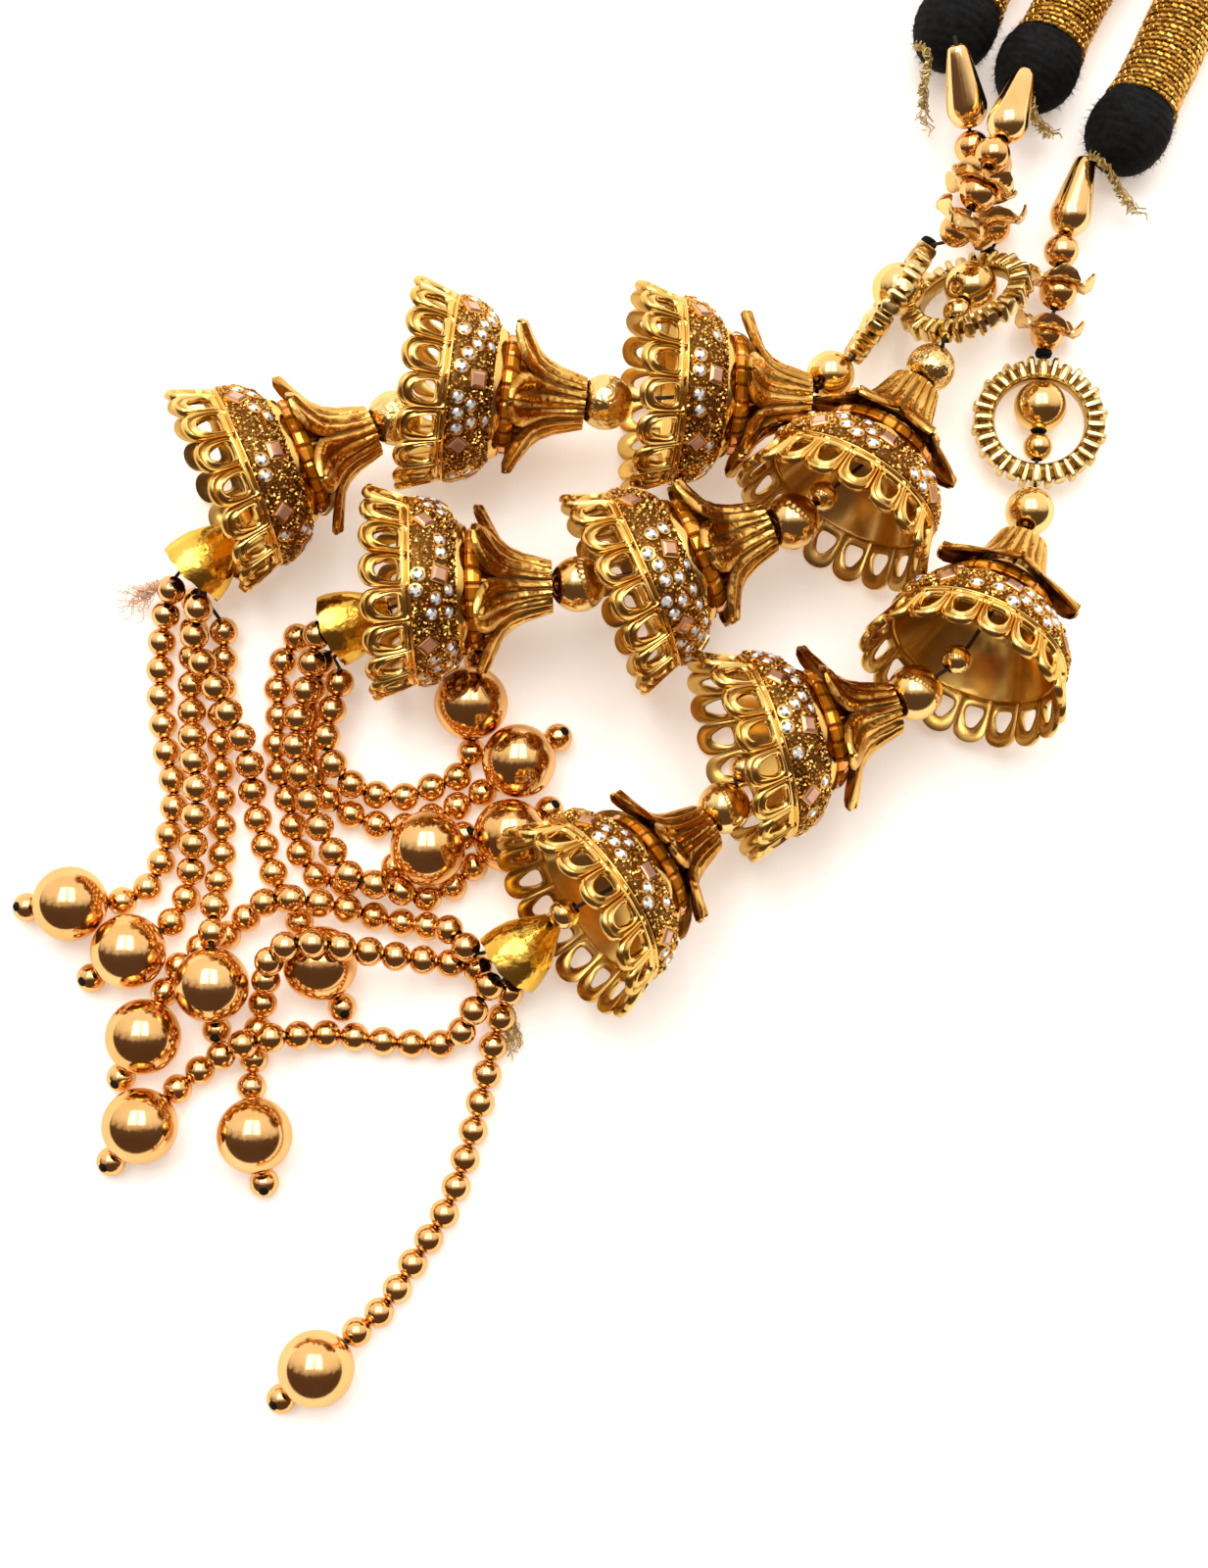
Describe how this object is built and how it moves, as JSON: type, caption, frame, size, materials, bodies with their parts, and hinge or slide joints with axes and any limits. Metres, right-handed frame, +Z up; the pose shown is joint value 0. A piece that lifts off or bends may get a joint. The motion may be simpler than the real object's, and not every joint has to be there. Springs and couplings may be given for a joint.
{
  "type": "paranda hair tassel",
  "caption": "Paranda: bell-hung bead tassels on tinsel cords, tied to the end of a plait, shown lying flat.",
  "frame": {"origin": "on the surface under the middle of the paranda's outline box", "axes": "+Y up the picture, from the tassels to the cords, +X to its right, and +Z up from the surface"},
  "size_m": [0.1734, 0.226, 0.0294],
  "materials": {
    "tinsel_cord": "orange-gold tinsel wound round a core",
    "black_thread": "black cotton thread, wound and matt",
    "rose_gold_plate": "polished rose-gold plate",
    "pale_gold_plate": "bright pale gold plate, ribbed",
    "yellow_gold_plate": "polished yellow-gold plate",
    "antique_gold_sheet": "pressed and pierced sheet, antique gold plate",
    "leaf_gold_sheet": "pressed sheet, antique gold plate, brown underneath",
    "gem_band": "brown-gold granulated band with set stones",
    "amber_glass": "faceted amber-coloured band",
    "bright_gold_sheet": "smooth bright yellow-gold plate",
    "copper_gold_plate": "polished copper-gold plate",
    "thread": "brown polyester beading thread"
  },
  "bodies": {
    "root": {"cord_a": "tinsel_cord", "cord_b": "tinsel_cord", "cord_c": "tinsel_cord", "top_binding": "black_thread", "cord_tip_a": "black_thread", "cord_tip_b": "black_thread", "cord_tip_c": "black_thread", "drop_a": "rose_gold_plate", "drop_b": "rose_gold_plate", "drop_c": "rose_gold_plate", "flower_caps_a": "rose_gold_plate", "flower_caps_b": "rose_gold_plate", "flower_caps_c": "rose_gold_plate", "collar_beads_a": "rose_gold_plate", "collar_beads_b": "rose_gold_plate", "collar_beads_c": "rose_gold_plate", "ring_a": "pale_gold_plate", "ring_b": "pale_gold_plate", "ring_c": "pale_gold_plate", "strand_beads_a": "yellow_gold_plate", "strand_beads_b": "yellow_gold_plate", "strand_beads_c": "yellow_gold_plate", "bell_a1": "antique_gold_sheet", "bell_a2": "antique_gold_sheet", "bell_a3": "antique_gold_sheet", "bell_b1": "antique_gold_sheet", "bell_b2": "antique_gold_sheet", "bell_b3": "antique_gold_sheet", "bell_c1": "antique_gold_sheet", "bell_c2": "antique_gold_sheet", "bell_c3": "antique_gold_sheet", "leaf_caps_a": "leaf_gold_sheet", "leaf_caps_b": "leaf_gold_sheet", "leaf_caps_c": "leaf_gold_sheet", "gem_bands_a": "gem_band", "gem_bands_b": "gem_band", "gem_bands_c": "gem_band", "amber_bands_a": "amber_glass", "amber_bands_b": "amber_glass", "amber_bands_c": "amber_glass", "tassel_cap_a": "bright_gold_sheet", "tassel_cap_b": "bright_gold_sheet", "tassel_cap_c": "bright_gold_sheet", "string_a1": "copper_gold_plate", "string_a2": "copper_gold_plate", "string_a3": "copper_gold_plate", "string_a4": "copper_gold_plate", "string_b1": "copper_gold_plate", "string_b2": "copper_gold_plate", "string_b3": "copper_gold_plate", "string_b4": "copper_gold_plate", "string_c1": "copper_gold_plate", "string_c2": "copper_gold_plate", "string_c3": "copper_gold_plate", "string_c4": "copper_gold_plate", "threads_a": "thread", "threads_b": "thread", "threads_c": "thread"}
  },
  "joints": []
}
